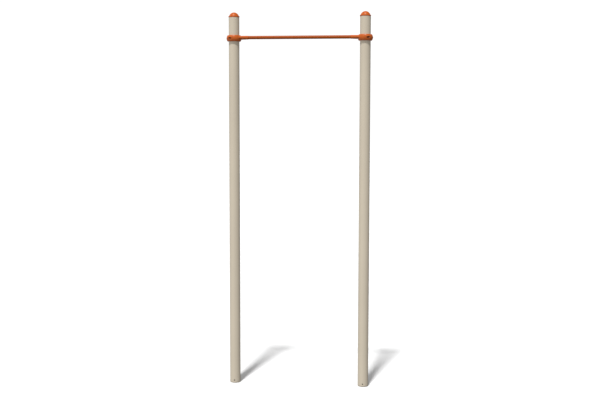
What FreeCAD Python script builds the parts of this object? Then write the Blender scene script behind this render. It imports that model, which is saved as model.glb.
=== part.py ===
"""Kip bar: one round bar held between two capped steel posts by a two-piece clamp on each post.

The frame: X runs along the bar, Z is up, and the origin is midway between the posts at the
level of their feet. Each post's own frame has +X pointing towards the other post, so the
right post's pieces are the left post's pieces turned half a turn about Z.
All lengths are millimetres.
"""
import FreeCAD, Part
import os
import re
import Sketcher

SIZES = {
    # posts
    "post_spacing": 1101.3,
    "post_height": 3109.0,
    "post_diameter": 88.9,
    "post_wall": 3.05,
    # plug that closes the foot of each post
    "foot_flange": 8.0,
    "foot_edge": 6.5,
    "foot_skirt": 9.0,
    "foot_skirt_wall": 3.0,
    "foot_fit": 0.3,
    "drain_bore": 12.0,
    # cross hole that takes the anchor rod in the footing
    "anchor_bore": 11.0,
    "anchor_margin": 1.5,
    # domed cap
    "cap_rim": 10.0,
    "cap_rim_edge": 3.5,
    "cap_overhang": 2.1,
    "cap_dome": 31.0,
    "cap_dome_inset": 3.5,
    "cap_wall": 3.5,
    "cap_skirt": 28.0,
    "cap_skirt_wall": 3.0,
    "cap_fit": 0.3,
    # blind rivets that hold the cap
    "rivet_drop": 14.0,
    "rivet_diameter": 4.8,
    "rivet_fit": 0.1,
    "rivet_head": 9.5,
    "rivet_head_rise": 1.6,
    "rivet_bulb": 6.8,
    "rivet_bulb_length": 3.0,
    # the bar, its axis this far below the top of the posts
    "bar_drop": 168.3,
    "bar_diameter": 28.6,
    "bar_wall": 3.05,
    "bar_end_gap": 0.5,
    # clamps
    "clamp_tall": 50.0,
    "clamp_wall": 18.1,
    "clamp_bulge": 8.0,
    "clamp_edge": 3.5,
    "clamp_split": 1.0,
    "clamp_fit": 0.3,
    "bar_rise": 6.2,
    # socket boss on the inner half of each clamp: it spreads and drops a little to meet the ring
    "boss_length": 58.0,
    "boss_bite": 1.0,
    "boss_inset": 1.0,
    "boss_drop": 1.7,
    "boss_root_wall": 1.95,
    "boss_tip_wall": 1.0,
    "socket_web": 5.3,
    "socket_fit": 0.15,
    # screws through both halves
    "screw_diameter": 7.9,
    "screw_fit": 0.4,
    "screw_outboard": 0.8,
    "screw_head": 13.0,
    "screw_head_rise": 4.4,
    "screw_hex": 4.8,
    "screw_hex_depth": 2.8,
    "screw_guard_pin": 1.8,
    "screw_seat": 7.0,
    "screw_tip_gap": 3.0,
    "recess_bore": 14.6,
    "washer_diameter": 13.8,
    "washer_thick": 1.3,
    # threaded bushes let into the split face of the inner half
    "bush_diameter": 11.0,
    "bush_length": 14.0,
    "bush_fit": 0.05,
    "bush_inset": 0.5,
    "thread_fit": 0.05,
    # drive rivet that locks each clamp to its post
    "lock_diameter": 6.35,
    "lock_fit": 0.1,
    "lock_head": 11.0,
    "lock_head_rise": 3.0,
    "lock_spotface": 13.0,
    "lock_spotface_depth": 1.2,
    "lock_tail": 5.0,
    # pin that stops the bar from turning in its socket
    "pin_diameter": 5.0,
    "pin_fit": 0.05,
    "pin_place": 16.0,
    "pin_inset": 0.6,
}

DERIVED = {
    "post_radius": "post_diameter / 2",
    "post_bore": "post_radius - post_wall",
    "foot_skirt_outside": "post_bore - foot_fit",
    "foot_skirt_top": "foot_flange + foot_skirt",
    "anchor_height": "foot_skirt_top + anchor_margin + anchor_bore / 2",
    "cap_skirt_outside": "post_bore - cap_fit",
    "cap_skirt_inside": "cap_skirt_outside - cap_skirt_wall",
    "cap_rim_radius": "post_radius + cap_overhang",
    "cap_rim_top": "post_height + cap_rim",
    "cap_dome_foot": "post_radius - cap_dome_inset",
    "cap_dome_radius": "(cap_dome_foot ^ 2 + cap_dome ^ 2) / (2 * cap_dome)",
    "cap_dome_centre": "cap_rim_top + cap_dome - cap_dome_radius",
    "cap_hollow_radius": "cap_dome_radius - cap_wall",
    "cap_hollow_foot": "cap_dome_centre + sqrt(cap_hollow_radius ^ 2 - cap_skirt_inside ^ 2)",
    "rivet_height": "post_height - rivet_drop",
    "rivet_hole": "rivet_diameter / 2 + rivet_fit",
    "rivet_bulb_face": "sqrt(cap_skirt_inside ^ 2 - (rivet_bulb / 2) ^ 2)",
    "clamp_bore": "post_radius + clamp_fit",
    "clamp_radius": "clamp_bore + clamp_wall",
    "bar_height": "post_height - bar_drop",
    "clamp_height": "bar_height - bar_rise",
    "clamp_side_radius": "((clamp_tall / 2) ^ 2 + clamp_bulge ^ 2) / (2 * clamp_bulge)",
    "boss_start": "clamp_bore - boss_bite",
    "boss_end": "clamp_radius + boss_length",
    "boss_spread": "sqrt(clamp_radius ^ 2 - boss_start ^ 2) - boss_inset",
    "socket_floor": "clamp_bore + socket_web",
    "socket_bore": "bar_diameter / 2 + socket_fit",
    "boss_root": "socket_bore + boss_root_wall",
    "boss_tip": "socket_bore + boss_tip_wall",
    "bar_end": "socket_floor + bar_end_gap",
    "bar_length": "post_spacing - 2 * bar_end",
    "screw_offset": "clamp_bore + clamp_wall / 2 + screw_outboard",
    "screw_hole": "screw_diameter / 2 + screw_fit",
    "bush_face": "clamp_split / 2 + bush_inset",
    "bush_end": "bush_face + bush_length",
    "screw_tip": "bush_end + screw_tip_gap / 2",
    "screw_hole_end": "bush_end + screw_tip_gap",
    "lock_hole": "lock_diameter / 2 + lock_fit",
    "lock_seat": "clamp_radius - lock_spotface_depth",
    "pin_from_axis": "clamp_radius + pin_place",
    "pin_hole": "pin_diameter / 2 + pin_fit",
    "boss_taper": "(boss_root - boss_tip) / (boss_end - boss_start)",
    "boss_at_pin": "boss_root - boss_taper * (pin_from_axis - boss_start)",
    "boss_slope": "boss_drop / (boss_end - boss_start)",
    "pin_height": "bar_height - boss_slope * (boss_end - pin_from_axis)",
}

SIDES = {"left": -1, "right": 1}
HALF_TURN = 180
FULL_TURN = 360
CAP_RIVETS = 3
UP = FreeCAD.Vector(0, 0, 1)

doc = FreeCAD.newDocument("KipBar")
sheet = doc.addObject("Spreadsheet::Sheet", "Sizes")


def fill_sheet():
    """Driving sizes as plain numbers first, then the sizes that follow from them."""
    rows = [(name, str(value)) for name, value in SIZES.items()]
    rows += [(name, "=" + formula) for name, formula in DERIVED.items()]
    for number, (name, content) in enumerate(rows, start=1):
        sheet.set("A%d" % number, name)
        sheet.set("B%d" % number, content)
        sheet.setAlias("B%d" % number, name)
    doc.recompute()


def bound(formula):
    """A formula in size names, written so that any object of the document can read it."""
    known = set(SIZES) | set(DERIVED)

    def qualify(word):
        return "Sizes." + word.group(0) if word.group(0) in known else word.group(0)

    return re.sub(r"[a-z][a-z_]*", qualify, formula)


def value(formula):
    """The present number that a formula in size names gives."""
    return float(sheet.evalExpression(formula))


def bind(thing, prop, formula):
    thing.setExpression(prop, bound(formula))


def new_body(label):
    body = doc.addObject("PartDesign::Body", label)
    body.Label = label
    return body


def origin_plane(body, role):
    return next(item for item in body.Origin.OriginFeatures if item.Role == role)


def new_sketch(body, name, plane, shift=None):
    """A sketch on one of the body's origin planes; shift moves its own origin: (across, up, out)."""
    sketch = body.newObject("Sketcher::SketchObject", body.Label + "_" + name)
    sketch.AttachmentSupport = [(origin_plane(body, plane), "")]
    sketch.MapMode = "FlatFace"
    for letter, formula in zip("xyz", shift or ()):
        if formula != "0":
            bind(sketch, "AttachmentOffset.Base." + letter, formula)
    return sketch


def pin_point(sketch, shape, end, across, up):
    """Fix one end of a line or arc at a place given by two formulas."""
    for kind, formula, axis in (("DistanceX", across, -2), ("DistanceY", up, -1)):
        if formula == "0":
            sketch.addConstraint(Sketcher.Constraint("PointOnObject", shape, end, axis))
            continue
        place = Sketcher.Constraint(kind, -1, 1, shape, end, value(formula))
        number = sketch.addConstraint(place)
        bind(sketch, "Constraints[%d]" % number, formula)


def arc_between(start, stop, radius, bulge):
    """The shorter arc of one radius between two points; bulge +1 curves to the left of the way."""
    chord = stop - start
    half = chord.Length / 2
    rise = radius - (radius**2 - half**2) ** 0.5
    left = FreeCAD.Vector(-chord.y, chord.x, 0).normalize()
    return Part.Arc(start, start + chord * 0.5 + left * (bulge * rise), stop)


def outline(sketch, corners, arcs=None):
    """A closed outline through corners given as formulas.

    arcs maps a side's number to (radius formula, bulge): that side is an arc, not a line.
    """
    arcs = arcs or {}
    points = [FreeCAD.Vector(value(across), value(up), 0) for across, up in corners]
    first_ends = []
    last_ends = []
    for side, start in enumerate(points):
        stop = points[(side + 1) % len(points)]
        if side in arcs:
            radius, bulge = arcs[side]
            shape = sketch.addGeometry(arc_between(start, stop, value(radius), bulge))
            number = sketch.addConstraint(Sketcher.Constraint("Radius", shape, value(radius)))
            bind(sketch, "Constraints[%d]" % number, radius)
        else:
            shape = sketch.addGeometry(Part.LineSegment(start, stop))
        begins_at_start = (sketch.getPoint(shape, 1) - start).Length < 1e-6
        first_ends.append((shape, 1 if begins_at_start else 2))
        last_ends.append((shape, 2 if begins_at_start else 1))
    for side, (across, up) in enumerate(corners):
        joint = Sketcher.Constraint("Coincident", *last_ends[side - 1], *first_ends[side])
        sketch.addConstraint(joint)
        pin_point(sketch, *first_ends[side], across, up)


def circle(sketch, radius):
    """A circle about the sketch's own origin."""
    middle = FreeCAD.Vector(0, 0, 0)
    shape = sketch.addGeometry(Part.Circle(middle, UP, value(radius)))
    sketch.addConstraint(Sketcher.Constraint("Coincident", shape, 3, -1, 1))
    number = sketch.addConstraint(Sketcher.Constraint("Radius", shape, value(radius)))
    bind(sketch, "Constraints[%d]" % number, radius)


def oval(sketch, half_across, half_up):
    """An ellipse about the sketch's own origin, wider across than up."""
    middle = FreeCAD.Vector(0, 0, 0)
    shape = sketch.addGeometry(Part.Ellipse(middle, value(half_across), value(half_up)))
    sketch.exposeInternalGeometry(shape)
    long_axis = shape + 1
    short_axis = shape + 2
    sketch.addConstraint(Sketcher.Constraint("Coincident", shape, 3, -1, 1))
    sketch.addConstraint(Sketcher.Constraint("Horizontal", long_axis))
    for axis, half in ((long_axis, half_across), (short_axis, half_up)):
        length = "2 * (%s)" % half
        number = sketch.addConstraint(Sketcher.Constraint("Distance", axis, value(length)))
        bind(sketch, "Constraints[%d]" % number, length)


def turned(body, kind, name, plane, axis, corners, arcs=None, shift=None, angle=FULL_TURN):
    """A Revolution (adds) or a Groove (cuts) of an outline about its sketch's own axis."""
    sketch = new_sketch(body, name + "_outline", plane, shift)
    outline(sketch, corners, arcs)
    doc.recompute()
    before = body.Shape.Volume if body.Tip and kind == "Groove" else 0
    feature = body.newObject("PartDesign::" + kind, body.Label + "_" + name)
    feature.Profile = sketch
    feature.ReferenceAxis = (sketch, [axis])
    feature.Angle = angle
    feature.Midplane = angle != FULL_TURN
    doc.recompute()
    if kind == "Groove" and not feature.Shape.Volume < before:
        raise ValueError(feature.Label + " cuts nothing")
    return feature


def cross_hole(body, name, plane, radius, length, shift, both_ways=False):
    """A round hole square to a plane: both ways from it, or only against its normal."""
    sketch = new_sketch(body, name + "_circle", plane, shift)
    circle(sketch, radius)
    doc.recompute()
    before = body.Shape.Volume
    hole = body.newObject("PartDesign::Pocket", body.Label + "_" + name)
    hole.Profile = sketch
    bind(hole, "Length", length)
    hole.Midplane = both_ways
    doc.recompute()
    if not hole.Shape.Volume < before:
        raise ValueError(hole.Label + " cuts nothing")
    return hole


def ring_of(body, feature, count):
    """Repeats a hole evenly about the body's vertical axis."""
    pattern = body.newObject("PartDesign::PolarPattern", feature.Label + "_ring")
    pattern.Originals = [feature]
    pattern.Axis = (origin_plane(body, "Z_Axis"), [""])
    pattern.Angle = FULL_TURN
    pattern.Occurrences = count
    body.Tip = pattern
    doc.recompute()
    return pattern


def round_edges(body, name, radius, wanted):
    """Fillets the edges of the body's tip that the test picks."""
    tip = body.Tip
    names = ["Edge%d" % (i + 1) for i, edge in enumerate(tip.Shape.Edges) if wanted(edge)]
    fillet = body.newObject("PartDesign::Fillet", body.Label + "_" + name)
    fillet.Base = (tip, names)
    bind(fillet, "Radius", radius)
    body.Tip = fillet
    doc.recompute()
    return fillet


def is_ring(edge, radius, height):
    """True for a circular edge about the vertical axis with this radius and height."""
    if edge.Degenerated or not isinstance(edge.Curve, Part.Circle):
        return False
    middle = edge.Curve.Center
    same_radius = abs(edge.Curve.Radius - value(radius)) < 1e-3
    same_height = abs(middle.z - value(height)) < 1e-3
    return same_radius and same_height and abs(edge.Curve.Axis.z) > 0.99


def stand(piece, side, inward="0", across="0", up="0", turn=0):
    """Places a piece in its post's frame: inward towards the other post, across, and up."""
    sign = SIDES[side]
    bind(piece, "Placement.Base.x", "%d * (post_spacing / 2 - (%s))" % (sign, inward))
    bind(piece, "Placement.Base.y", "%d * (%s)" % (-sign, across))
    bind(piece, "Placement.Base.z", up)
    about_z = turn + (HALF_TURN if side == "right" else 0)
    piece.Placement.Rotation = FreeCAD.Rotation(UP, about_z)


def group(label, pieces):
    """Identical pieces as one node of separate solids."""
    together = doc.addObject("Part::Compound", label)
    together.Label = label
    together.Links = pieces
    return together


def make_post(side):
    """A round tube, open at both ends, with its three sets of holes."""
    body = new_body(side + "_post")
    corners = [
        ("post_bore", "foot_flange"),
        ("post_radius", "foot_flange"),
        ("post_radius", "post_height"),
        ("post_bore", "post_height"),
    ]
    turned(body, "Revolution", "tube", "XZ_Plane", "V_Axis", corners)
    anchor_at = ("0", "anchor_height", "0")
    across_post = "2 * post_diameter"
    cross_hole(body, "anchor", "XZ_Plane", "anchor_bore / 2", across_post, anchor_at, both_ways=True)
    lock_at = ("0", "clamp_height", "0")
    cross_hole(body, "lock", "YZ_Plane", "lock_hole", "post_diameter", lock_at)
    rivet_at = ("0", "rivet_height", "0")
    first = cross_hole(body, "rivet", "YZ_Plane", "rivet_hole", "post_diameter", rivet_at)
    ring_of(body, first, CAP_RIVETS)
    stand(body, side)
    return body


def make_foot_plug(side):
    """Moulded plug: a flange under the tube with a rounded edge, a skirt inside and a drain hole."""
    body = new_body(side + "_foot_plug")
    corners = [
        ("drain_bore / 2", "0"),
        ("post_radius", "0"),
        ("post_radius", "foot_flange"),
        ("foot_skirt_outside", "foot_flange"),
        ("foot_skirt_outside", "foot_skirt_top"),
        ("foot_skirt_outside - foot_skirt_wall", "foot_skirt_top"),
        ("foot_skirt_outside - foot_skirt_wall", "foot_flange"),
        ("drain_bore / 2", "foot_flange"),
    ]
    turned(body, "Revolution", "plug", "XZ_Plane", "V_Axis", corners)
    round_edges(body, "edge", "foot_edge", lambda edge: is_ring(edge, "post_radius", "0"))
    stand(body, side)
    return body


def make_cap(side):
    """Cast cap: a hollow dome on a rim that lies on the tube, with a skirt inside the tube."""
    body = new_body(side + "_cap")
    corners = [
        ("cap_skirt_outside", "post_height - cap_skirt"),
        ("cap_skirt_outside", "post_height"),
        ("cap_rim_radius", "post_height"),
        ("cap_rim_radius", "cap_rim_top"),
        ("cap_dome_foot", "cap_rim_top"),
        ("0", "cap_rim_top + cap_dome"),
        ("0", "cap_rim_top + cap_dome - cap_wall"),
        ("cap_skirt_inside", "cap_hollow_foot"),
        ("cap_skirt_inside", "post_height - cap_skirt"),
    ]
    arcs = {4: ("cap_dome_radius", -1), 6: ("cap_hollow_radius", 1)}
    turned(body, "Revolution", "shell", "XZ_Plane", "V_Axis", corners, arcs)

    def on_rim(edge):
        low = is_ring(edge, "cap_rim_radius", "post_height")
        high = is_ring(edge, "cap_rim_radius", "cap_rim_top")
        return low or high

    round_edges(body, "rim_edge", "cap_rim_edge", on_rim)
    rivet_at = ("0", "rivet_height", "0")
    first = cross_hole(body, "rivet", "YZ_Plane", "rivet_hole", "post_diameter", rivet_at)
    ring_of(body, first, CAP_RIVETS)
    stand(body, side)
    return body


def make_cap_rivet(side, number):
    """Blind rivet lying along -X: domed head on the tube, shank, and a bulb inside the skirt."""
    body = new_body("%s_cap_rivet_%d" % (side, number))
    corners = [
        ("-(post_radius + rivet_head_rise)", "0"),
        ("-post_radius", "rivet_head / 2"),
        ("-post_radius", "rivet_diameter / 2"),
        ("-rivet_bulb_face", "rivet_diameter / 2"),
        ("-rivet_bulb_face", "rivet_bulb / 2"),
        ("rivet_bulb_length - rivet_bulb_face", "rivet_diameter / 2"),
        ("rivet_bulb_length - rivet_bulb_face", "0"),
    ]
    dome = "((rivet_head / 2) ^ 2 + rivet_head_rise ^ 2) / (2 * rivet_head_rise)"
    turned(body, "Revolution", "turned", "XY_Plane", "H_Axis", corners, {0: (dome, 1)})
    stand(body, side, up="rivet_height", turn=FULL_TURN / CAP_RIVETS * number)
    return body


def half_ring(body, facing):
    """Half of the clamp's ring, facing +X (facing 1) or -X (facing -1), short of the split."""
    corners = [
        ("%d * clamp_bore" % facing, "-clamp_tall / 2"),
        ("%d * (clamp_radius - clamp_bulge)" % facing, "-clamp_tall / 2"),
        ("%d * (clamp_radius - clamp_bulge)" % facing, "clamp_tall / 2"),
        ("%d * clamp_bore" % facing, "clamp_tall / 2"),
    ]
    arcs = {1: ("clamp_side_radius", -facing)}
    turned(body, "Revolution", "ring", "XZ_Plane", "V_Axis", corners, arcs, angle=HALF_TURN)

    def on_rim(edge):
        low = is_ring(edge, "clamp_radius - clamp_bulge", "-clamp_tall / 2")
        high = is_ring(edge, "clamp_radius - clamp_bulge", "clamp_tall / 2")
        return low or high

    round_edges(body, "rim_edge", "clamp_edge", on_rim)
    sketch = new_sketch(body, "split_slab", "XY_Plane")
    slab = [
        ("-clamp_split / 2", "-2 * clamp_radius"),
        ("clamp_split / 2", "-2 * clamp_radius"),
        ("clamp_split / 2", "2 * clamp_radius"),
        ("-clamp_split / 2", "2 * clamp_radius"),
    ]
    outline(sketch, slab)
    split = body.newObject("PartDesign::Pocket", body.Label + "_split")
    split.Profile = sketch
    bind(split, "Length", "2 * clamp_tall")
    split.Midplane = True
    doc.recompute()


def screw_holes(body, corners):
    """The same stepped hole for each of the two screws, in front of the post and behind it."""
    for name, sign in (("front", "-"), ("back", "")):
        at = ("0", sign + "screw_offset", "0")
        turned(body, "Groove", name + "_screw", "XY_Plane", "H_Axis", corners, shift=at)


def make_inner_clamp(side):
    """Half ring towards the bar, with the tapered boss and socket that take the bar's end.

    The boss is an oval as wide as the ring where it starts and a circle at its tip, and it is
    made before the post's bore is cut through it.
    """
    body = new_body(side + "_clamp_inner")
    half_ring(body, 1)
    at_bar = ("0", "bar_rise", "0")
    root = new_sketch(body, "boss_root", "YZ_Plane", ("0", "bar_rise - boss_drop", "boss_start"))
    oval(root, "boss_spread", "boss_root")
    tip = new_sketch(body, "boss_tip", "YZ_Plane", ("0", "bar_rise", "boss_end"))
    circle(tip, "boss_tip")
    doc.recompute()
    boss = body.newObject("PartDesign::AdditiveLoft", body.Label + "_boss")
    boss.Profile = root
    boss.Sections = [tip]
    boss.Ruled = True
    doc.recompute()
    middle = ("0", "0", "0")
    cross_hole(body, "bore", "XY_Plane", "clamp_bore", "2 * clamp_tall", middle, both_ways=True)
    past_boss = "boss_end + boss_length"
    socket = [
        ("socket_floor", "0"),
        ("socket_floor", "socket_bore"),
        (past_boss, "socket_bore"),
        (past_boss, "0"),
    ]
    turned(body, "Groove", "socket", "XZ_Plane", "H_Axis", socket, shift=at_bar)
    bush_hole = [
        ("0", "0"),
        ("0", "bush_diameter / 2 + bush_fit"),
        ("bush_end", "bush_diameter / 2 + bush_fit"),
        ("bush_end", "screw_hole"),
        ("screw_hole_end", "screw_hole"),
        ("screw_hole_end", "0"),
    ]
    screw_holes(body, bush_hole)
    pin_at = ("pin_from_axis", "0", "0")
    cross_hole(body, "pin", "XY_Plane", "pin_hole", "2 * clamp_radius", pin_at, both_ways=True)
    stand(body, side, up="clamp_height")
    return body


def make_outer_clamp(side):
    """Half ring on the far side of the post, with a recess for each screw head."""
    body = new_body(side + "_clamp_outer")
    half_ring(body, -1)
    head_hole = [
        ("0", "0"),
        ("0", "screw_hole"),
        ("-screw_seat", "screw_hole"),
        ("-screw_seat", "recess_bore / 2"),
        ("-clamp_radius", "recess_bore / 2"),
        ("-clamp_radius", "0"),
    ]
    screw_holes(body, head_hole)
    past_clamp = "-(clamp_radius + clamp_wall)"
    lock_hole = [
        ("0", "0"),
        ("0", "lock_hole"),
        ("-lock_seat", "lock_hole"),
        ("-lock_seat", "lock_spotface / 2"),
        (past_clamp, "lock_spotface / 2"),
        (past_clamp, "0"),
    ]
    turned(body, "Groove", "lock", "XY_Plane", "H_Axis", lock_hole)
    stand(body, side, up="clamp_height")
    return body


def make_screw(side, name, across):
    """Button-head screw along X, its head outwards, with a hexagon socket and a guard pin."""
    body = new_body("%s_clamp_screw_%s" % (side, name))
    under_head = "-(screw_seat + washer_thick)"
    top = "-(screw_seat + washer_thick + screw_head_rise)"
    corners = [
        (top, "0"),
        (under_head, "screw_head / 2"),
        (under_head, "screw_diameter / 2"),
        ("screw_tip", "screw_diameter / 2"),
        ("screw_tip", "0"),
    ]
    dome = "((screw_head / 2) ^ 2 + screw_head_rise ^ 2) / (2 * screw_head_rise)"
    turned(body, "Revolution", "turned", "XY_Plane", "H_Axis", corners, {0: (dome, 1)})
    sketch = new_sketch(body, "hexagon", "YZ_Plane", ("0", "0", top))
    reach = "screw_hex / sqrt(3)"
    flat = "screw_hex / 2"
    outline(
        sketch,
        [
            (flat, reach + " / 2"),
            ("0", reach),
            ("-" + flat, reach + " / 2"),
            ("-" + flat, "-(" + reach + " / 2)"),
            ("0", "-(" + reach + ")"),
            (flat, "-(" + reach + " / 2)"),
        ],
    )
    circle(sketch, "screw_guard_pin / 2")
    doc.recompute()
    before = body.Shape.Volume
    socket = body.newObject("PartDesign::Pocket", body.Label + "_socket")
    socket.Profile = sketch
    bind(socket, "Length", "screw_hex_depth")
    socket.Reversed = True
    doc.recompute()
    if not socket.Shape.Volume < before:
        raise ValueError(socket.Label + " cuts nothing")
    stand(body, side, across=across, up="clamp_height")
    return body


def make_washer(side, name, across):
    body = new_body("%s_clamp_washer_%s" % (side, name))
    corners = [
        ("-screw_seat", "screw_hole"),
        ("-screw_seat", "washer_diameter / 2"),
        ("-(screw_seat + washer_thick)", "washer_diameter / 2"),
        ("-(screw_seat + washer_thick)", "screw_hole"),
    ]
    turned(body, "Revolution", "turned", "XY_Plane", "H_Axis", corners)
    stand(body, side, across=across, up="clamp_height")
    return body


def make_bush(side, name, across):
    """Threaded bush for the screw, let into the inner half from its split face."""
    body = new_body("%s_clamp_bush_%s" % (side, name))
    thread = "screw_diameter / 2 + thread_fit"
    corners = [
        ("bush_face", thread),
        ("bush_face", "bush_diameter / 2"),
        ("bush_end", "bush_diameter / 2"),
        ("bush_end", thread),
    ]
    turned(body, "Revolution", "turned", "XY_Plane", "H_Axis", corners)
    stand(body, side, across=across, up="clamp_height")
    return body


def make_lock_rivet(side):
    """Drive rivet along -X through the clamp's outer half and the wall of the post."""
    body = new_body(side + "_lock_rivet")
    corners = [
        ("-(lock_seat + lock_head_rise)", "0"),
        ("-lock_seat", "lock_head / 2"),
        ("-lock_seat", "lock_diameter / 2"),
        ("lock_tail - post_bore", "lock_diameter / 2"),
        ("lock_tail - post_bore", "0"),
    ]
    dome = "((lock_head / 2) ^ 2 + lock_head_rise ^ 2) / (2 * lock_head_rise)"
    turned(body, "Revolution", "turned", "XY_Plane", "H_Axis", corners, {0: (dome, 1)})
    stand(body, side, up="clamp_height")
    return body


def make_bar_pin(side):
    """Straight pin, upright through the boss and both walls of the bar."""
    body = new_body(side + "_bar_pin")
    half = "boss_at_pin - pin_inset"
    corners = [
        ("0", "-(" + half + ")"),
        ("pin_diameter / 2", "-(" + half + ")"),
        ("pin_diameter / 2", half),
        ("0", half),
    ]
    turned(body, "Revolution", "turned", "XZ_Plane", "V_Axis", corners)
    stand(body, side, inward="pin_from_axis", up="pin_height")
    return body


def make_bar():
    """The bar: a round tube whose ends sit in the two sockets, drilled for the two pins."""
    body = new_body("kip_bar")
    corners = [
        ("-bar_length / 2", "bar_diameter / 2 - bar_wall"),
        ("bar_length / 2", "bar_diameter / 2 - bar_wall"),
        ("bar_length / 2", "bar_diameter / 2"),
        ("-bar_length / 2", "bar_diameter / 2"),
    ]
    turned(body, "Revolution", "tube", "XZ_Plane", "H_Axis", corners)
    for side, sign in SIDES.items():
        pin_at = ("%d * (post_spacing / 2 - pin_from_axis)" % sign, "0", "0")
        through = "2 * bar_diameter"
        cross_hole(body, side + "_pin", "XY_Plane", "pin_hole", through, pin_at, both_ways=True)
    bind(body, "Placement.Base.z", "bar_height")
    return body


def both_screws(label, make, side):
    """The piece once for the screw in front of the post and once for the one behind it."""
    places = {"front": "-screw_offset", "back": "screw_offset"}
    return group(label, [make(side, name, across) for name, across in places.items()])


def make_nodes():
    nodes = [make_bar()]
    for side in SIDES:
        rivets = [make_cap_rivet(side, number) for number in range(CAP_RIVETS)]
        nodes += [
            make_post(side),
            make_foot_plug(side),
            make_cap(side),
            group(side + "_cap_rivets", rivets),
            make_inner_clamp(side),
            make_outer_clamp(side),
            both_screws(side + "_clamp_screws", make_screw, side),
            both_screws(side + "_clamp_washers", make_washer, side),
            both_screws(side + "_clamp_bushes", make_bush, side),
            make_lock_rivet(side),
            make_bar_pin(side),
        ]
    doc.recompute()
    return nodes


def check(nodes):
    """Stops the build if any object failed or any node's shape is missing or broken."""
    failed = [item.Name for item in doc.Objects if {"Invalid", "Error"} & set(item.State)]
    broken = [node.Label for node in nodes if node.Shape.isNull() or not node.Shape.isValid()]
    if failed or broken:
        raise ValueError("failed: %s, broken: %s" % (failed, broken))


def write(nodes):
    os.makedirs("parts", exist_ok=True)
    for node in nodes:
        node.Shape.exportStep("parts/%s.step" % node.Label)
        facts = (node.Label, len(node.Shape.Solids), node.Shape.Volume)
        print("%-22s solids %d  volume %11.1f" % facts, node.Shape.BoundBox)


fill_sheet()
node_list = make_nodes()
check(node_list)
write(node_list)
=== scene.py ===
# %% [markdown]
# # The looks of a kip bar
#
# A kip bar is one round bar held high between two steel posts. Its shape is already finished: the
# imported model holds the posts, caps, clamps, bar and every rivet, screw and pin at their true size.
# This lesson gives each of those pieces the surface that the real one has, lights them like a
# studio picture, and sets the camera. Nothing here moves or resizes a part.

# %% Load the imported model
import math

import bpy
import numpy as np
from mathutils import Matrix, Vector


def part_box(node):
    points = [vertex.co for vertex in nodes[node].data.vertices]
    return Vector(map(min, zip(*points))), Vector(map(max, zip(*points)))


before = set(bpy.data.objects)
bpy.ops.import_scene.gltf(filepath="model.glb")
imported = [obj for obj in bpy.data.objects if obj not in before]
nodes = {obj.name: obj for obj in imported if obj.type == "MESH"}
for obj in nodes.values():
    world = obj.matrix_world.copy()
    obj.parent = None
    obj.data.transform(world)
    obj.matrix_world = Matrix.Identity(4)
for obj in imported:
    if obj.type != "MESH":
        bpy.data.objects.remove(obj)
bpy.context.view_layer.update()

# %% [markdown]
# ## Where things are
#
# Patterns have to sit on the piece they belong to: turning marks run round a screw's own axis, and
# the bare zinc inside a tube starts at the tube's own bore. So the axes are measured from the
# model's boxes first, and every material reads them from here. Typing them in by hand would work
# too, but the numbers would be wrong as soon as the model changes.


# %% Measure the axes
def middle(node):
    """The middle of a node's box: half of its lowest corner plus half of its highest."""
    low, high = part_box(node)
    return (low + high) / 2


def size(node):
    """The lengths of a node's box along x, y and z."""
    low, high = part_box(node)
    return high - low


POST_OUT = abs(middle("right_post").x)
POST_RADIUS = size("right_post").y / 2
BAR_UP = middle("kip_bar").z
BAR_RADIUS = size("kip_bar").y / 2
PIN_OUT = abs(middle("right_bar_pin").x)
SCREW_UP = middle("right_clamp_screws").z
SCREW_OUT = size("right_clamp_screws").y / 2 - size("right_clamp_screws").z / 2
print("posts at x = +-%.4f, radius %.4f" % (POST_OUT, POST_RADIUS))
print("bar at z = %.4f, radius %.4f" % (BAR_UP, BAR_RADIUS))
print("bar pins at x = +-%.4f" % PIN_OUT)
print("clamp screws at z = %.4f, y = +-%.4f" % (SCREW_UP, SCREW_OUT))

# %% [markdown]
# ## Shader sums as plain Python
#
# A material is a graph of nodes. Drawing a long graph by hand is slow, and reading it later is
# slower. Here one small class wraps a node's output, and + - * and ** on it add the Math nodes, so
# a formula in the script looks like the formula in a book. Every other node comes from one method.


# %% A wrapped output
class Wire:
    """One number or vector that flows out of a node. Python's operators add Math nodes."""

    def __init__(self, recipe, socket):
        self.recipe = recipe
        self.socket = socket

    def calc(self, operation, *others):
        """One Math node that takes this wire first and the others after it."""
        values = dict(enumerate((self,) + others))
        return self.recipe.add("Math", {"operation": operation}, values)

    def __add__(self, other):
        return self.calc("ADD", other)

    def __sub__(self, other):
        return self.calc("SUBTRACT", other)

    def __rsub__(self, other):
        return self.recipe.add("Math", {"operation": "SUBTRACT"}, {0: other, 1: self})

    def __mul__(self, other):
        return self.calc("MULTIPLY", other)

    def __pow__(self, other):
        return self.calc("POWER", other)

    def __abs__(self):
        return self.calc("ABSOLUTE")

    __radd__ = __add__
    __rmul__ = __mul__

    def ramp(self, low, high):
        """0 below low, 1 above high, and a smooth S between them."""
        settings = {"interpolation_type": "SMOOTHSTEP"}
        values = {"Value": self, "From Min": low, "From Max": high}
        return self.recipe.add("MapRange", settings, values)


def length_of(across, up):
    """The distance from an axis: the square root of the sum of two squares."""
    return (across * across + up * up) ** 0.5


print("wires can add, take away, multiply, raise to a power and ramp")


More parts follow.
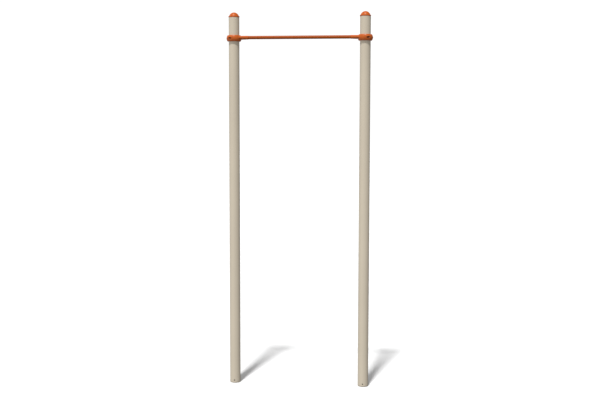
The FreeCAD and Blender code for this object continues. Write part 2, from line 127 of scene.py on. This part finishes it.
# %% A material that adds nodes
class Recipe:
    """The node graph of one material, or of the room's light when a world is given."""

    def __init__(self, name, owner=None):
        self.material = owner or bpy.data.materials.new(name)
        self.material.use_nodes = True
        self.tree = self.material.node_tree
        self.tree.nodes.clear()
        self.place = self.add("TexCoord", out="Object")

    def add(self, kind, settings=None, values=None, out=0):
        """Adds a node: its settings are set first, then the values or links of its sockets."""
        node = self.tree.nodes.new("ShaderNode" + kind)
        for name, setting in (settings or {}).items():
            setattr(node, name, setting)
        for name, given in (values or {}).items():
            if isinstance(given, Wire):
                self.tree.links.new(given.socket, node.inputs[name])
            else:
                node.inputs[name].default_value = given
        return Wire(self, node.outputs[out])

    def axes(self):
        """The three object coordinates as separate numbers."""
        split = self.add("SeparateXYZ", None, {0: self.place}).socket.node
        return [Wire(self, output) for output in split.outputs]

    def noise(self, cells, detail=2.0, rough=0.5, at=None, out="Fac"):
        """Cloudy noise from 0 to 1 with so many cells to a metre."""
        values = {"Vector": at or self.place, "Scale": cells, "Detail": detail, "Roughness": rough}
        return self.add("TexNoise", None, values, out)

    def stretch(self, x, y, z):
        """Coordinates scaled by axis, so that a pattern runs long one way and short another."""
        return self.add("VectorMath", {"operation": "MULTIPLY"}, {0: self.place, 1: (x, y, z)})

    def blend(self, share, first, second):
        """Two colours mixed by a share."""
        settings = {"data_type": "RGBA"}
        return self.add("Mix", settings, {0: share, 6: first, 7: second}, out=2)

    def bump(self, height, depth, under=None):
        """Turns a height from 0 to 1 into a surface normal; depth is the full height in metres."""
        values = {"Height": height, "Distance": depth, "Strength": 1.0}
        if under is not None:
            values["Normal"] = under
        return self.add("Bump", None, values)

    def end(self, kind, shader):
        """Joins a shader to the graph's output, a Material or a World one."""
        output = self.tree.nodes.new("ShaderNodeOutput" + kind)
        self.tree.links.new(shader.socket, output.inputs["Surface"])

    def finish(self, values):
        """Ends the graph in a surface shader and returns the material."""
        self.end("Material", self.add("BsdfPrincipled", None, values))
        return self.material


def grey(level):
    return (level, level, level, 1.0)


def shade(colour, factor):
    """A colour made darker or lighter by a factor."""
    return tuple(channel * factor for channel in colour) + (1.0,)


print("shader helpers ready")

# %% [markdown]
# ## Powder coat
#
# The posts, bar, clamps and caps are powder coated: dry paint is charged on and baked, and it flows
# into one unbroken skin. Up close that skin has orange peel, a gentle ripple about two millimetres
# across and some hundredths of a millimetre deep. On a sharp edge the skin is thin and looks a
# little lighter. The walls of a deep screw recess get a painted shade: a darker tone of the paint
# that stands in for the shadow inside the recess.
# The three coats could be three graphs drawn by hand. One function makes them all instead, so that
# they differ only in colour, in shine and in how rough the metal under them is.

# %% What the paint shows: worn edges, clouds, flecks and orange peel
PEEL_CELLS = 420.0
PEEL_DEPTH = 0.00004
GRAIN_CELLS = 2600.0
GRAIN_DEPTH = 0.000008
CASTING_CELLS = 130.0
EDGE_REACH = 0.0012


def edge_share(recipe, reach):
    """1 on a sharp edge and 0 on a flat: how far the normal turns within a short reach."""
    soft = recipe.add("Bevel", {"samples": 6}, {"Radius": reach})
    true = recipe.add("NewGeometry", out="Normal")
    along = recipe.add("VectorMath", {"operation": "DOT_PRODUCT"}, {0: soft, 1: true}, out="Value")
    return (1.0 - along).ramp(0.01, 0.25)


def coat_colour(recipe, colour, thin):
    """Clouds half a metre wide, flecks a millimetre wide, and thin paint on the edges."""
    clouds = recipe.noise(cells=2.2, detail=3.0)
    flecks = recipe.noise(cells=900.0, detail=4.0, rough=0.7)
    light = recipe.blend(clouds.ramp(0.3, 0.7), shade(colour, 0.965), shade(colour, 1.03))
    grained = recipe.blend(flecks.ramp(0.35, 0.75), light, shade(colour, 1.05))
    edges = edge_share(recipe, EDGE_REACH) * recipe.noise(cells=160.0, detail=3.0).ramp(0.35, 0.6)
    return recipe.blend(edges * 0.55, grained, thin)


def coat_normal(recipe, casting_depth=0.0):
    """Orange peel with fine grain on it, over the skin of a sand casting where there is one."""
    under = None
    if casting_depth:
        skin = recipe.noise(cells=CASTING_CELLS, detail=5.0, rough=0.62)
        under = recipe.bump(skin, casting_depth)
    peeled = recipe.bump(recipe.noise(cells=PEEL_CELLS, detail=1.0), PEEL_DEPTH, under)
    return recipe.bump(recipe.noise(cells=GRAIN_CELLS, detail=1.0), GRAIN_DEPTH, peeled)


def zinc(recipe):
    """Hot-dip zinc: crystals a centimetre or two across, each a slightly different grey."""
    values = {"Vector": recipe.place, "Scale": 70.0, "Randomness": 1.0}
    crystals = recipe.add("TexVoronoi", {"feature": "F1"}, values, out="Color")
    level = recipe.add("SeparateColor", None, {0: crystals})
    colour = recipe.blend(level, (0.34, 0.35, 0.36, 1.0), (0.52, 0.53, 0.55, 1.0))
    roughness = 0.34 + level * 0.22
    return colour, roughness


print("paint and zinc patterns ready")


# %% One coat
# Painted shade: the share of the paint's tone kept on the walls of the screw recesses, standing in
# for their shadow.
RECESS_SHADE_TONE = 0.35


def powder_coat(name, colour, edge_tone, matt, shine, casting_depth=0.0, bare=None, starved=None):
    """One coat: its colour, how much lighter its edges are, its least roughness and its shine.

    bare gives the share of uncoated zinc. The last argument gives the share of painted shade, a
    darker tone of the paint that stands in for the shadow inside a recess.
    """
    recipe = Recipe(name)
    paint = coat_colour(recipe, colour, shade(colour, edge_tone))
    # Painted shade: recess walls get a darker tone of the paint, standing in for the shadow inside
    # them.
    if starved:
        paint = recipe.blend(starved(recipe), paint, shade(colour, RECESS_SHADE_TONE))
    smear = recipe.noise(cells=35.0, detail=4.0, rough=0.6)
    roughness = matt + smear * 0.10
    metallic = 0.0
    if bare:
        share = bare(recipe)
        zinc_colour, zinc_roughness = zinc(recipe)
        paint = recipe.blend(share, paint, zinc_colour)
        roughness = roughness + (zinc_roughness - roughness) * share
        metallic = share
    values = {"Base Color": paint, "Roughness": roughness, "Metallic": metallic}
    values["Specular IOR Level"] = shine
    values["Normal"] = coat_normal(recipe, casting_depth)
    return recipe.finish(values)


# Shows how much of the paint's tone the painted shade in the recesses keeps.
print("starved paint keeps", RECESS_SHADE_TONE, "of its tone")

# %% Where the paint stops, and where shade is painted into the recesses
BARE_DEPTH = 0.0016
PAINTED_DEPTH = 0.0010
RECESS_RADIUS = 0.00735
RECESS_BLUR = 0.0001
RECESS_FROM = 0.0065


def deeper_than_paint(out, radius):
    """1 in a tube's bore and on the inner part of its cut end, 0 on its painted outside."""
    return 1.0 - out.ramp(radius - BARE_DEPTH, radius - PAINTED_DEPTH)


def inside_post(recipe):
    x, y, z = recipe.axes()
    return deeper_than_paint(length_of(abs(x) - POST_OUT, y), POST_RADIUS)


def inside_bar(recipe):
    x, y, z = recipe.axes()
    return deeper_than_paint(length_of(z - BAR_UP, y), BAR_RADIUS)


def recess_shade_mask(recipe):
    """Painted shade: 1 in the screw recesses, which start RECESS_FROM out from the posts' axes."""
    x, y, z = recipe.axes()
    out = length_of(abs(y) - SCREW_OUT, z - SCREW_UP)
    wall = 1.0 - out.ramp(RECESS_RADIUS, RECESS_RADIUS + RECESS_BLUR)
    return wall * abs(x).calc("GREATER_THAN", POST_OUT + RECESS_FROM)


print("bare inside radius", round(POST_RADIUS - BARE_DEPTH, 5), round(BAR_RADIUS - BARE_DEPTH, 5))

# %% The three coats
TAN = (0.595, 0.525, 0.413)
ORANGE = (0.51, 0.102, 0.0115)
BAR_ORANGE = shade(ORANGE, 0.73)[:3]
CASTING_DEPTH = 0.00018

POST_LOOK = {"edge_tone": 1.12, "matt": 0.34, "shine": 0.5}
BAR_LOOK = {"edge_tone": 1.22, "matt": 0.32, "shine": 0.12}
CASTING_LOOK = {"edge_tone": 1.18, "matt": 0.36, "shine": 0.25, "casting_depth": CASTING_DEPTH}

post_coat = powder_coat("post_paint", TAN, bare=inside_post, **POST_LOOK)
bar_coat = powder_coat("bar_paint", BAR_ORANGE, bare=inside_bar, **BAR_LOOK)
# The castings carry painted shade in their screw recesses.
cast_coat = powder_coat("casting_paint", ORANGE, starved=recess_shade_mask, **CASTING_LOOK)
print("coats", post_coat.name, bar_coat.name, cast_coat.name)

# %% [markdown]
# ## Turned stainless and drawn aluminium
#
# The screws, washers, bushes and pins are turned from stainless bar, which leaves fine rings round
# the axis. The rings are a pattern on the distance from that axis, not a picture, so they stay
# round at any zoom. Rivets are drawn aluminium: duller, softer, with short scratches along them.
# The cap rivets come with their heads painted to match the post, so from outside they hardly show.


# %% Turned stainless
TURNING_CELLS = 5200.0
TURNING_DEPTH = 0.000012
STEEL_EDGE = 0.0005
STEEL = (0.52, 0.52, 0.53)


def rings_round(recipe, out, cells, detail):
    """Rings round an axis: noise read along one line, the distance out from that axis."""
    values = {"W": out, "Scale": cells, "Detail": detail}
    return recipe.add("TexNoise", {"noise_dimensions": "1D"}, values)


def turned_steel(name, colour, axis_distance):
    """Rings of gloss and height round the turning axis, faint stains, and bright worn edges."""
    recipe = Recipe(name)
    rings = rings_round(recipe, axis_distance(recipe), TURNING_CELLS, detail=3.0)
    stains = recipe.noise(cells=240.0, detail=4.0, rough=0.6)
    tint = recipe.blend(stains.ramp(0.4, 0.75), shade(colour, 0.93), shade(colour, 1.06))
    worn = recipe.blend(edge_share(recipe, STEEL_EDGE) * 0.5, tint, shade(colour, 1.3))
    values = {"Base Color": worn, "Metallic": 1.0, "Roughness": 0.24 + rings * 0.16 + stains * 0.06}
    values["Normal"] = recipe.bump(rings, TURNING_DEPTH)
    return recipe.finish(values)


def from_screw_axis(recipe):
    x, y, z = recipe.axes()
    return length_of(abs(y) - SCREW_OUT, z - SCREW_UP)


def from_pin_axis(recipe):
    x, y, z = recipe.axes()
    return length_of(abs(x) - PIN_OUT, y)


screw_steel = turned_steel("stainless_screw", STEEL, from_screw_axis)
pin_steel = turned_steel("stainless_pin", STEEL, from_pin_axis)
print("steels", screw_steel.name, pin_steel.name)


# %% Drawn aluminium
SCRATCH_DEPTH = 0.00001
RIVET_EDGE = 0.0006
RIVET_MATT = 0.32
ALUMINIUM = (0.62, 0.62, 0.63)


def outside_post(recipe):
    """The share of a cap rivet that stands proud of its post: the head, which is painted."""
    x, y, z = recipe.axes()
    return length_of(abs(x) - POST_OUT, y).ramp(POST_RADIUS - 0.0004, POST_RADIUS - 0.0001)


def scratched_metal(name, colour, matt, painted=None):
    """Soft drawn metal: fine scratches over a cloudy oxide.

    painted, when given, is the share that wears the posts' paint instead of bare metal.
    """
    recipe = Recipe(name)
    oxide = recipe.noise(cells=180.0, detail=5.0, rough=0.65)
    fine = recipe.noise(cells=2.0, detail=2.0, at=recipe.stretch(500.0, 2600.0, 900.0))
    tint = recipe.blend(oxide.ramp(0.35, 0.7), shade(colour, 0.88), shade(colour, 1.06))
    worn = recipe.blend(edge_share(recipe, RIVET_EDGE) * 0.6, tint, shade(colour, 1.25))
    metallic = 1.0
    if painted:
        share = painted(recipe)
        paint = coat_colour(recipe, TAN, shade(TAN, POST_LOOK["edge_tone"]))
        worn = recipe.blend(share, worn, paint)
        metallic = 1.0 - share
    roughness = matt + oxide * 0.16 + fine * 0.05
    values = {"Base Color": worn, "Metallic": metallic, "Roughness": roughness}
    values["Normal"] = recipe.bump(fine, SCRATCH_DEPTH)
    return recipe.finish(values)


rivet_metal = scratched_metal("rivet_aluminium", ALUMINIUM, RIVET_MATT)
cap_rivet = scratched_metal("rivet_painted", ALUMINIUM, RIVET_MATT, painted=outside_post)
print("rivets", rivet_metal.name, cap_rivet.name)

# %% [markdown]
# ## Moulded plastic
#
# The plug under each post is a moulded part. The mould's spark-eroded wall leaves an even, matt
# grain, and the plastic flows in from the middle, which shows as faint rings of tone. One plain
# colour would nearly do for a piece so well hidden, but it shows from below, so it gets its own
# grain, with some dust over it.


# %% The foot plugs
MOULD_CELLS = 1400.0
MOULD_DEPTH = 0.00002


def moulded_plastic(name, colour):
    """Matt grain from the mould's wall, rings of tone round the post's axis, and a little dust."""
    recipe = Recipe(name)
    x, y, z = recipe.axes()
    flow = rings_round(recipe, length_of(abs(x) - POST_OUT, y), cells=160.0, detail=2.0)
    cells = {"Vector": recipe.place, "Scale": MOULD_CELLS}
    grain = recipe.add("TexVoronoi", None, cells, out="Distance")
    dust = recipe.noise(cells=60.0, detail=5.0, rough=0.7).ramp(0.45, 0.8)
    tint = recipe.blend(flow, shade(colour, 0.95), shade(colour, 1.05))
    dusty = recipe.blend(dust * 0.18, tint, shade(colour, 1.22))
    values = {"Base Color": dusty, "Roughness": 0.52 + dust * 0.18}
    values["Normal"] = recipe.bump(grain, MOULD_DEPTH)
    return recipe.finish(values)


BEIGE = (0.50, 0.43, 0.34)
plug_plastic = moulded_plastic("plug_plastic", BEIGE)
print("plastic", plug_plastic.name)

# %% [markdown]
# ## Giving each piece its finish
#
# A node keeps its own mesh and place, and only its material slots change. One table says which
# finish each kind of piece has, so a piece that has none stops the script instead of showing plain.

# %% Hand out the finishes
FINISHES = {
    "kip_bar": bar_coat,
    "post": post_coat,
    "foot_plug": plug_plastic,
    "cap": cast_coat,
    "clamp_inner": cast_coat,
    "clamp_outer": cast_coat,
    "clamp_screws": screw_steel,
    "clamp_washers": screw_steel,
    "clamp_bushes": screw_steel,
    "bar_pin": pin_steel,
    "cap_rivets": cap_rivet,
    "lock_rivet": rivet_metal,
}
for name, piece in nodes.items():
    kind = name.replace("left_", "").replace("right_", "")
    piece.data.materials.clear()
    piece.data.materials.append(FINISHES[kind])
    print("%-20s %s" % (name, FINISHES[kind].name))

# %% [markdown]
# ## Floor and wall
#
# A product is shown on a white sweep: the floor and the wall behind are the same white, so only
# the shadow tells where the ground is. A curved sheet could make both at once. Here a flat one
# makes the floor and a white world makes the wall, because a flat floor keeps every shadow true.
# The sheet is hidden from bounced rays: the room's even light already stands for what a floor
# sends back.

# %% Floor
FLOOR_REACH = 60.0
FLOOR_STEPS = 8
FLOOR_WHITE = 0.86


def floor_sheet(reach, steps):
    """A flat sheet: every point is (reach * u, reach * v, 0), with u and v from -1 to 1."""
    row = steps + 1
    u, v = np.meshgrid(np.linspace(-1, 1, row), np.linspace(-1, 1, row), indexing="ij")
    points = np.stack([reach * u, reach * v, 0 * u], axis=-1).reshape(-1, 3)
    corner = (np.arange(steps)[:, None] * row + np.arange(steps)).ravel()
    faces = np.stack([corner, corner + row, corner + row + 1, corner + 1], axis=1)
    mesh = bpy.data.meshes.new("floor")
    mesh.from_pydata(points.tolist(), [], faces.tolist())
    sheet = bpy.data.objects.new("floor", mesh)
    bpy.context.scene.collection.objects.link(sheet)
    return sheet


floor = floor_sheet(FLOOR_REACH, FLOOR_STEPS)
paper = Recipe("floor_paper")
fibre = paper.noise(cells=9.0, detail=4.0)
tone = paper.blend(fibre, grey(FLOOR_WHITE * 0.995), grey(FLOOR_WHITE * 1.005))
sheen = {"Roughness": 0.9, "Specular IOR Level": 0.1}
floor.data.materials.append(paper.finish({"Base Color": tone, **sheen}))
floor.visible_diffuse = False
floor.visible_glossy = False
print("floor", FLOOR_REACH * 2, "m square")

# %% [markdown]
# ## Light
#
# One soft key light comes from high in front, a little to the left. It is a sun lamp as wide in the
# sky as a large studio lamp, so a shadow is crisp where the post touches the ground and melts away
# with height. The rest could be area lamps, but their edges would show in the gloss of the round
# posts, so the world gives it: a weak light from all round, and a broad soft light from the left
# and from the front, each fading as the cosine of the angle. Only the camera sees a white wall.

# %% Lights
KEY_TRAVEL = Vector((0.137, 1.0, -2.2))
KEY_STRENGTH = 3.34
KEY_WIDTH = math.radians(4.5)
ROOM_LEVEL = 0.245
ROOM_SIDES = {"left": ((-1, 0, 0), 0.40), "front": ((0, -1, 0), 0.30)}
WALL_LEVEL = 1.06

key = bpy.data.lights.new("key", "SUN")
key.energy = KEY_STRENGTH
key.angle = KEY_WIDTH
key_light = bpy.data.objects.new("key", key)
key_light.rotation_euler = KEY_TRAVEL.to_track_quat("-Z", "Y").to_euler()
bpy.context.scene.collection.objects.link(key_light)

room = bpy.data.worlds.new("room")
bpy.context.scene.world = room
light = Recipe("room", room)
around = light.add("TexCoord", out="Generated")
direction = light.add("VectorMath", {"operation": "NORMALIZE"}, {0: around})
level = ROOM_LEVEL
for way, strength in ROOM_SIDES.values():
    pair = {0: direction, 1: way}
    facing = light.add("VectorMath", {"operation": "DOT_PRODUCT"}, pair, out="Value")
    level = facing.calc("MAXIMUM", 0.0) * strength + level
fill = light.add("Background", None, {"Color": grey(1.0), "Strength": level})
wall = light.add("Background", None, {"Color": grey(1.0), "Strength": WALL_LEVEL})
seen = light.add("LightPath", out="Is Camera Ray")
both = light.add("MixShader", None, {0: seen, 1: fill, 2: wall})
light.end("World", both)
bpy.context.scene.view_settings.view_transform = "Standard"
print("key", KEY_STRENGTH, "room", ROOM_LEVEL, "sides", list(ROOM_SIDES))

# %% [markdown]
# ## Camera
#
# The camera stands about eight and a half metres in front, a metre to the right of the middle and a
# little above head height. A wide lens close by would show the same frame, but it would splay the
# posts, so a short telephoto lens is used from further off. Three plain turns aim it.

# %% Camera
CAMERA_PLACE = Vector((1.046, -8.606, 2.279))
CAMERA_TURN = math.radians(6.87)
CAMERA_DIP = math.radians(-5.16)
CAMERA_ROLL = math.radians(0.10)
CAMERA_LENS = 61.78

lens = bpy.data.cameras.new("camera")
lens.lens = CAMERA_LENS
lens.sensor_width = 36.0
lens.clip_end = 500.0
camera = bpy.data.objects.new("camera", lens)
bpy.context.scene.collection.objects.link(camera)
turn = Matrix.Rotation(CAMERA_TURN, 4, "Z")
dip = Matrix.Rotation(math.radians(90) + CAMERA_DIP, 4, "X")
roll = Matrix.Rotation(CAMERA_ROLL, 4, "Z")
camera.matrix_world = Matrix.Translation(CAMERA_PLACE) @ turn @ dip @ roll
bpy.context.scene.camera = camera
bpy.context.view_layer.update()
print("camera", tuple(round(part, 3) for part in camera.location))
